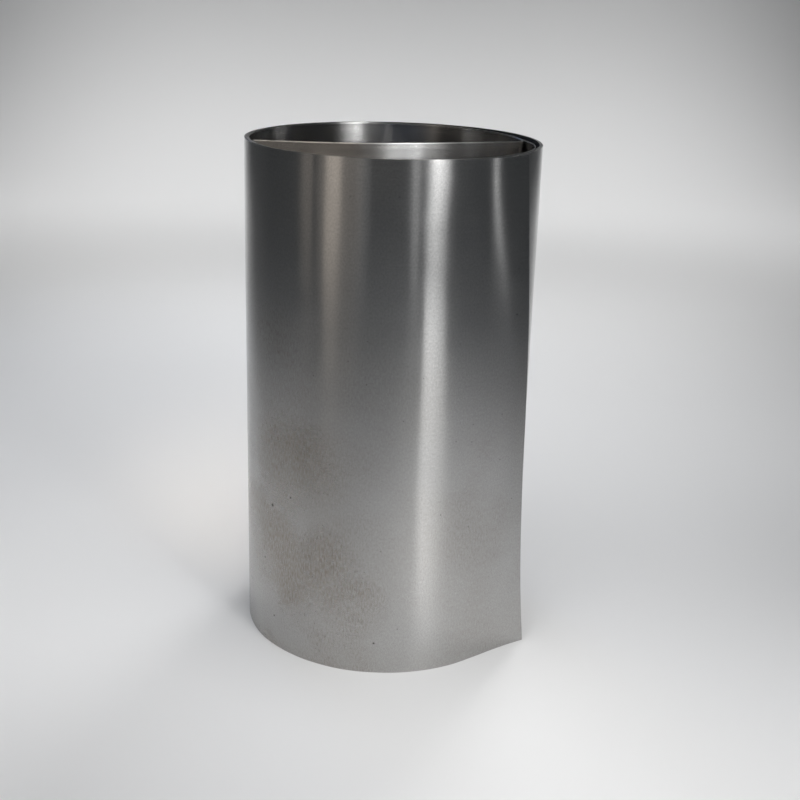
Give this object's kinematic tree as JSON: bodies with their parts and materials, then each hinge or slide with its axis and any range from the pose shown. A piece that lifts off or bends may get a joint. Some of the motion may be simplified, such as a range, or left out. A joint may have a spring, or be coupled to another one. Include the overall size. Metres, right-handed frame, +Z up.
{
  "type": "steel strip coil",
  "caption": "Coil of bright stainless steel strip standing on its end, with tight turns, the inner end folded across the bore and a sprung outer end.",
  "frame": {"origin": "on the floor at the axis of the tight outer turns", "axes": "+Z up along the coil's axis, front as pictured towards -Y, loose outer end at the front right towards +X"},
  "size_m": [0.1773, 0.175, 0.305],
  "materials": {
    "stainless_strip": "satin mill finish, rolling lines round the coil"
  },
  "bodies": {
    "root": {"strip_coil": "stainless_strip"}
  },
  "joints": []
}
